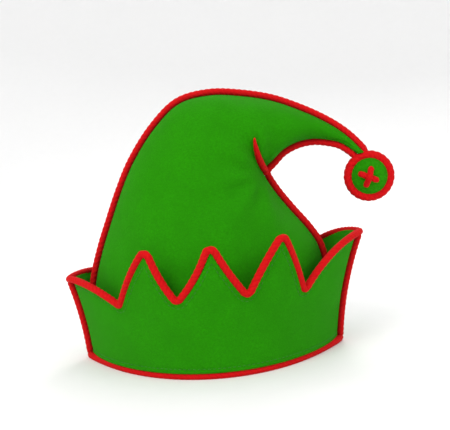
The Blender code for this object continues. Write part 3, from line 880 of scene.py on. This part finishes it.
def felt_material(name, colour):
    """Pressed wool: cloudy dye, crossing fibres of lighter and darker wool, and a short nap."""
    n = Nodes(name)
    clouds = n.noise(n.place(), scale=42.0, detail=4.0)
    fibres = None
    for turn in FELT_FIBRE_TURNS:
        streak = n.noise(n.place(FELT_FIBRE, turn), scale=1.0, detail=2.0, distortion=1.2)
        streak = n.ramp(streak, 0.58, 0.72)
        fibres = streak if fibres is None else n.math("MAXIMUM", fibres, streak)
    fine = n.noise(n.place(), scale=2400.0, detail=3.0)
    pile = n.noise(n.place(), scale=620.0, detail=4.0)
    base = n.mix(n.ramp(clouds, 0.35, 0.65), shade_of(colour, 0.90), shade_of(colour, 1.08))
    base = n.mix(n.ramp(pile, 0.35, 0.7), shade_of(colour, 0.80), base)
    base = n.mix(n.math("MULTIPLY", fibres, 0.45), base, shade_of(colour, 1.45, lift=0.002))
    height = n.math("ADD", n.math("MULTIPLY", pile, 0.6), n.math("MULTIPLY", fine, 0.25))
    height = n.math("ADD", height, n.math("MULTIPLY", fibres, 0.35))
    n.set(Base_Color=base, Roughness=0.93, Normal=n.bump(height, distance=0.55, strength=0.8))
    n.set(Sheen_Weight=0.07, Sheen_Roughness=0.5, Sheen_Tint=(0.3, 0.9, 0.1, 1))
    n.set(Specular_IOR_Level=0.06)
    return n.material


def cord_material(name, colour):
    """Twisted cotton: fine fibres run along each strand, and painted shade darkens the grooves
    between them.
    """
    n = Nodes(name)
    groove_shade = n.add("ShaderNodeAttribute", attribute_name="groove_shade").outputs["Fac"]
    lay = n.add("ShaderNodeUVMap", uv_map="lay").outputs["UV"]
    stretch = n.add("ShaderNodeMapping", {"Vector": lay, "Scale": CORD_FIBRE})
    fibres = n.noise(stretch.outputs["Vector"], scale=1.0, detail=3.0, distortion=0.3)
    fuzz = n.noise(n.place(), scale=1900.0, detail=3.0)
    base = n.mix(n.ramp(fibres, 0.35, 0.65), shade_of(colour, 0.72), shade_of(colour, 0.94))
    # Painted shade: the grooves between the strands are darkened in the colour, as if shadowed
    base = n.mix(n.math("MULTIPLY", n.ramp(groove_shade, 0.45, 1.0), 0.4), base, shade_of(colour, 0.5))
    height = n.math("ADD", n.math("MULTIPLY", fibres, 0.7), n.math("MULTIPLY", fuzz, 0.3))
    n.set(Base_Color=base, Roughness=0.8, Normal=n.bump(height, distance=0.35, strength=0.7))
    n.set(Sheen_Weight=0.06, Sheen_Roughness=0.45, Sheen_Tint=(1.0, 0.15, 0.1, 1))
    n.set(Specular_IOR_Level=0.08)
    return n.material


def thread_material(name, colour):
    n = Nodes(name)
    twist = n.noise(n.place(THREAD_FIBRE, THREAD_TURN), scale=1.0, detail=2.0)
    base = n.mix(n.ramp(twist, 0.35, 0.65), shade_of(colour, 0.75), shade_of(colour, 1.15))
    n.set(Base_Color=base, Roughness=0.6, Normal=n.bump(twist, distance=0.1, strength=0.6))
    return n.material


def paper_material(name, colour):
    n = Nodes(name)
    grain = n.noise(n.place(), scale=60.0, detail=3.0)
    base = n.mix(n.ramp(grain, 0.3, 0.7), shade_of(colour, 0.99), shade_of(colour, 1.0))
    n.set(Base_Color=base, Roughness=0.9)
    return n.material


# Pieces

def into_ring(path, centre):
    """The path cut off near the button, and bent from there into the cord of its ring."""
    away = np.linalg.norm(path - centre, axis=1)
    near = np.flatnonzero(away < BUTTON_RADIUS + ROPE_RADIUS + TAIL_CORD_BEND)
    path = path[: near[0]] if len(near) else path
    start, onward = path[-1], unit(path[-1] - path[-2])
    turn = start + TAIL_CORD_BEND * onward
    end = centre + BUTTON_RADIUS * unit(turn - centre)
    shares = np.linspace(0, 1, TAIL_BEND_POINTS)[1:, None]
    bend = (1 - shares) ** 2 * start + 2 * shares * (1 - shares) * turn + shares**2 * end
    return np.vstack([path, bend])


def button_centre(crown):
    over, under = crown.over[-1], crown.under[-1]
    down = unit(over - under)
    onward = np.array([down[1], -down[0]])
    return (over + under) / 2 + onward * (RING_RADIUS + GAP + FACET_GAP)


def dress_crown(crown, felt, thread):
    stitches = []
    smooth = crown.smooth_grid()
    for name, side in (("crown_front", FRONT), ("crown_back", BACK)):
        grid = smooth + crown_relief(smooth, side)[..., None] * normals_of(smooth)
        stitches += seam_stitch_lines(grid, side)
        grid[-1] += TAIL_REACH * unit(grid[-1] - grid[-2])
        felt_panel("felt_" + name, with_seam_edges(grid), side, CROWN_WALL, felt, name)
    hat_piece("crown_stitches", stitch_mesh("crown_stitches", stitches), thread, "green_felt")


def seam_stitch_lines(grid, side):
    """Lines of stitching beside both seams of a panel, up to where the tail gets too narrow."""
    across = lengths_across(grid)
    narrow = across[:, -1] < STITCHED_WIDTH
    rows = np.argmax(narrow) if narrow.any() else len(grid)
    lines = []
    for places in (np.full(rows, SEAM_STITCH_INSET), across[:rows, -1] - SEAM_STITCH_INSET):
        line = []
        for values in (grid, normals_of(grid)):
            found = [
                [np.interp(places[i], across[i], values[i, :, k]) for k in range(3)]
                for i in range(rows)
            ]
            line.append(np.array(found) * np.array([1, side, 1]))
        lines.append(line)
    return lines


def dress_crown_cords(crown, cord):
    """The cords of both crown seams, from where the cuff leaves them room up to the button."""
    tail_start = len(BODY_ROWS) + len(BEND_ROWS)
    shares = np.interp(crown.rows, [tail_start, crown.rows[-1]], [1, TAIL_ROPE_SHARE])
    offset = shares * ROPE_RADIUS - CORD_SINK
    for name, path in (
        ("crown_piping_over", shifted(crown.over, offset)),
        ("crown_piping_under", shifted(crown.under, -offset)),
    ):
        room = CUFF_HALF_WIDTH + SIDE_FLARE * flare(path[:, 1]) - CUFF_WALL
        clear = np.abs(path[:, 0]) + CORD_SEAT < room
        first = np.flatnonzero(clear)[0]
        path = in_seam_plane(into_ring(path, button_centre(crown))[first:])
        thinned = np.pad(shares[first:], (0, len(path)), mode="edge")[: len(path)]
        mesh = rope_mesh("laid_" + name, path, ROPE_RADIUS, thinned)
        hat_piece("laid_" + name, mesh, cord, "red_cord", name)


def dress_crease(crown, cord):
    """The tapering cords that lie in the crease, at the front and at the back."""
    middle = through([crown.at(c.row, crown.middle) for c in CREASE_ROWS], CROWN_STEPS)
    outward = unit(crown.crease - in_seam_plane(middle))
    rise = CREASE_CORD_RISE * CORD_RADIUS * crown.thickness - CREASE_DEPTH * crown.dents
    path = crown.crease + rise[:, None] * outward
    for name, side in (("crease_cord_front", FRONT), ("crease_cord_back", BACK)):
        laid = path * np.array([1, side, 1])
        mesh = rope_mesh("laid_" + name, laid, ROPE_RADIUS, crown.thickness)
        hat_piece("laid_" + name, mesh, cord, "red_cord", name)


def dress_cuff(cuff, felt, cord, thread):
    smooth, heights = cuff_grid(cuff)
    stitches = []
    for name, side in (("cuff_front", FRONT), ("cuff_back", BACK)):
        relief = cuff_relief(cuff, smooth, heights, side)
        grid = smooth + relief[..., None] * normals_of(smooth)
        felt_panel("felt_" + name, with_seam_edges(grid), side, CUFF_WALL, felt, name)
        stitches += cuff_stitch_lines(cuff, grid, heights, side)
    hat_piece("cuff_stitches", stitch_mesh("cuff_stitches", stitches), thread, "green_felt")
    middle, corner = CUFF_WALL / 2, CUFF_WALL / 2 + CORD_SEAT
    path = cuff.points(cuff.places, cuff.cord, middle, corner=corner)
    mesh = rope_mesh("laid_cuff_edge_piping", path, ROPE_RADIUS, closed=True)
    hat_piece("laid_cuff_edge_piping", mesh, cord, "red_cord", "cuff_edge_piping")
    for name, length, row in (
        ("cuff_seam_piping_left", 0.0, EDGE_ROWS[0]),
        ("cuff_seam_piping_right", cuff.half, EDGE_ROWS[-1]),
    ):
        foot, top = CROWN_FOOT - SEAM_CORD_TUCK, row.height * CUFF_HEIGHT - SEAM_CORD_TUCK
        heights = np.linspace(foot, top, SEAM_CORD_POINTS)
        path = cuff.points(np.full(len(heights), length), heights, 0.0, corner=CORD_SEAT)
        path[:, 1] = 0
        mesh = rope_mesh("laid_" + name, path, ROPE_RADIUS)
        hat_piece("laid_" + name, mesh, cord, "red_cord", name)


def dress_hem(cord):
    """The cord round the opening, pressed flat against the floor."""
    angles = np.linspace(0, 2 * pi, HEM_POINTS, endpoint=False)
    folded = np.minimum(angles, 2 * pi - angles)
    path = cuff_point(folded, 0.0, LAYERS / 2, corner=LAYERS / 2 + CORD_SEAT)
    path[:, 1] *= np.where(angles <= pi, BACK, FRONT)
    path[:, 2] = HEM_CORD_MIDDLE
    mesh = rope_mesh("laid_hem_piping", path, ROPE_RADIUS, closed=True, floor=0.0)
    hat_piece("laid_hem_piping", mesh, cord, "red_cord", "hem_piping")


def pad_form():
    """Two discs joined at their rim: points as shares of the radius, triangles and rim points."""
    disc, faces, firsts = [(0.0, 0.0)], [], [0]
    for ring in range(1, PAD_RINGS + 1):
        firsts.append(len(disc))
        count = PAD_SECTORS * ring
        disc += [at_angle(2 * pi * k / count, ring / PAD_RINGS) for k in range(count)]
    for ring in range(PAD_RINGS):
        inner, outer = max(PAD_SECTORS * ring, 1), PAD_SECTORS * (ring + 1)
        for sector in range(PAD_SECTORS):
            for k in range(ring + 1):
                near = firsts[ring] + (sector * ring + k) % inner
                far = firsts[ring + 1] + sector * (ring + 1) + k
                next_far = firsts[ring + 1] + (sector * (ring + 1) + k + 1) % outer
                faces.append((near, far, next_far))
                if k < ring:
                    next_near = firsts[ring] + (sector * ring + k + 1) % inner
                    faces.append((near, next_far, next_near))
    disc = np.array(disc)
    dome = np.sqrt(np.clip(1 - (disc**2).sum(axis=1), 0, 1))
    front = np.stack([disc[:, 0], -dome, disc[:, 1]], axis=1)
    inside = firsts[PAD_RINGS]
    back = front[:inside] * np.array([1, -1, 1])
    behind = []
    for face in faces:
        behind.append(tuple(i + len(front) if i < inside else i for i in reversed(face)))
    return np.vstack([front, back]), faces + behind, np.arange(inside, len(front))


def stuffed(points, faces, rim):
    """The same points after the pad is blown up like stuffed cloth, its rim held by its cord."""
    mesh = bpy.data.meshes.new("stuffing")
    start = points * np.array([1, PAD_START * BUTTON_THICKNESS / 2 / PAD_RADIUS, 1])
    mesh.from_pydata((start * PAD_RADIUS * CLOTH_SCALE * MM).tolist(), [], faces)
    pad = bpy.data.objects.new("stuffing", mesh)
    scene = bpy.context.scene
    scene.collection.objects.link(pad)
    held = pad.vertex_groups.new(name="rim")
    held.add(rim.tolist(), 1.0, "REPLACE")
    cloth = pad.modifiers.new("Cloth", "CLOTH").settings
    cloth.vertex_group_mass = held.name
    cloth.quality = CLOTH_QUALITY
    cloth.mass = CLOTH_MASS
    cloth.tension_stiffness = CLOTH_STRETCH
    cloth.compression_stiffness = CLOTH_STRETCH
    cloth.bending_stiffness = CLOTH_BEND
    cloth.shrink_min = -PAD_SLACK
    cloth.use_pressure = True
    cloth.uniform_pressure_force = PAD_PRESSURE
    cloth.effector_weights.gravity = 0
    for frame in range(1, PAD_FRAMES + 1):
        scene.frame_set(frame)
    graph = bpy.context.evaluated_depsgraph_get()
    shown = pad.evaluated_get(graph).data
    moved = np.empty(3 * len(points))
    shown.vertices.foreach_get("co", moved)
    scene.frame_set(1)
    bpy.data.objects.remove(pad)
    return moved.reshape(-1, 3) / (CLOTH_SCALE * MM)


def dress_pad(centre, felt):
    """Makes the button's stuffed pad, and gives the points of its cloth."""
    form, faces, rim = pad_form()
    points = stuffed(form, faces, rim)
    thickening = BUTTON_THICKNESS / 2 / np.abs(points[:, 1]).max()
    points *= np.array([PAD_SHARE, thickening, PAD_SHARE])
    points += np.array([centre[0], 0, centre[1]])
    mesh = hat_mesh("felt_tip_button", points, faces)
    pad = hat_piece("felt_tip_button", mesh, felt, "green_felt", "tip_button")
    soften = pad.modifiers.new("Soften", "SUBSURF")
    soften.levels = soften.render_levels = 1
    return points


def cross_arm_path(centre, front, angle, lift):
    """A line over the pad whose ends dip into it, raised by the lift where it crosses another."""
    path = []
    for share in np.linspace(-1, 1, CROSS_POINTS):
        x, z = centre + CROSS_PLACE + at_angle(angle, share * CROSS_REACH)
        nearest = np.argsort(np.hypot(front[:, 0] - x, front[:, 2] - z))[:PAD_NEIGHBOURS]
        rise = CROSS_SEAT - CROSS_DIP * abs(share) ** CROSS_DIP_POWER
        rise += lift * (1 - smooth_step(abs(share), 0.0, CROSS_LIFT_REACH))
        path.append((x, front[nearest, 1].mean() - rise, z))
    return np.array(path)


def dress_cross(centre, pad_points, cord):
    """Two short lengths of cord sewn across the pad's front, the second over the first."""
    front = pad_points[pad_points[:, 1] < 0]
    for number, angle in enumerate(CROSS_ANGLES):
        path = cross_arm_path(centre, front, angle, number * CROSS_LIFT)
        name = f"laid_cross_arm_{number + 1}"
        nodes = ["button_cross"] if number == 0 else []
        hat_piece(name, rope_mesh(name, path, CROSS_ROPE_RADIUS), cord, "red_cord", *nodes)


def dress_button(crown, felt, cord):
    centre = button_centre(crown)
    pad_points = dress_pad(centre, felt)
    dress_cross(centre, pad_points, cord)
    angles = np.linspace(0, 2 * pi, RING_POINTS, endpoint=False)
    ring = centre + RING_LINE_RADIUS * np.stack([np.cos(angles), np.sin(angles)], axis=1)
    mesh = rope_mesh("laid_button_piping", in_seam_plane(ring), RING_ROPE_RADIUS, closed=True)
    hat_piece("laid_button_piping", mesh, cord, "red_cord", "button_piping")


# Stage, lights and camera

def build_stage():
    """A pale floor that sweeps up into a wall all round."""
    profile = [(FLOOR_RADIUS, 0.0)]
    for angle in np.linspace(0, pi / 2, COVE_POINTS)[1:]:
        reach, rise = COVE_RADIUS * sin(angle), COVE_RADIUS - COVE_RADIUS * cos(angle)
        profile.append((FLOOR_RADIUS + reach, rise))
    profile.append((FLOOR_RADIUS + COVE_RADIUS, WALL_HEIGHT))
    spokes = 2 * pi * np.arange(FLOOR_SIDES) / FLOOR_SIDES
    points = [(0.0, 0.0, 0.0)]
    for radius, height in profile:
        points += [(radius * cos(angle), radius * sin(angle), height) for angle in spokes]
    faces = [(0, 1 + k, 1 + (k + 1) % FLOOR_SIDES) for k in range(FLOOR_SIDES)]
    for ring in range(1, len(points) - FLOOR_SIDES, FLOOR_SIDES):
        for k in range(FLOOR_SIDES):
            a, b = ring + k, ring + (k + 1) % FLOOR_SIDES
            faces.append((a, a + FLOOR_SIDES, b + FLOOR_SIDES, b))
    mesh = bpy.data.meshes.new("floor")
    mesh.from_pydata(points, [], faces)
    mesh.shade_smooth()
    mesh.materials.append(paper_material("floor_paper", PAPER))
    floor = bpy.data.objects.new("floor", mesh)
    bpy.context.scene.collection.objects.link(floor)


def add_light(light):
    lamp = bpy.data.lights.new(light.name, "AREA")
    lamp.shape = "DISK"
    lamp.size = light.size
    lamp.energy = light.power
    lamp.color = light.colour
    obj = bpy.data.objects.new(light.name, lamp)
    obj.location = light.place
    direction = Vector(LIGHT_AIM) - Vector(light.place)
    obj.rotation_euler = direction.to_track_quat("-Z", "Y").to_euler()
    obj.visible_camera = False
    bpy.context.scene.collection.objects.link(obj)


def light_scene():
    world = bpy.data.worlds.new("studio")
    bpy.context.scene.world = world
    world.use_nodes = True
    background = world.node_tree.nodes["Background"]
    background.inputs["Color"].default_value = (1, 1, 1, 1)
    background.inputs["Strength"].default_value = WORLD_STRENGTH
    for light in LIGHTS:
        add_light(light)
    bpy.context.scene.view_settings.view_transform = "Standard"
    bpy.context.scene.view_settings.look = "None"


def place_camera():
    """A camera at the picture's view, turned a little about its own line of sight."""
    camera = bpy.data.cameras.new("view")
    camera.lens = VIEW_LENS
    obj = bpy.data.objects.new("view", camera)
    bpy.context.scene.collection.objects.link(obj)
    aim = Vector(VIEW_AIM) + Vector((HAT_MIDDLE, 0, 0))
    back = Vector((0, -cos(VIEW_ELEVATION), sin(VIEW_ELEVATION)))
    turn = (-back).to_track_quat("-Z", "Y").to_matrix().to_4x4()
    roll = Matrix.Rotation(-VIEW_ROLL, 4, "Z")
    obj.matrix_world = Matrix.Translation((aim + VIEW_DISTANCE * back) * MM) @ turn @ roll
    bpy.context.scene.camera = obj


def main():
    felt = felt_material("green_wool_felt", GREEN)
    cord = cord_material("red_twisted_cord", RED)
    thread = thread_material("green_thread", shade_of(GREEN, THREAD_SHADE)[:3])
    crown, cuff = Crown(), Cuff()
    dress_crown(crown, felt, thread)
    dress_crown_cords(crown, cord)
    dress_crease(crown, cord)
    dress_cuff(cuff, felt, cord, thread)
    dress_hem(cord)
    dress_button(crown, felt, cord)
    build_stage()
    light_scene()
    place_camera()


main()
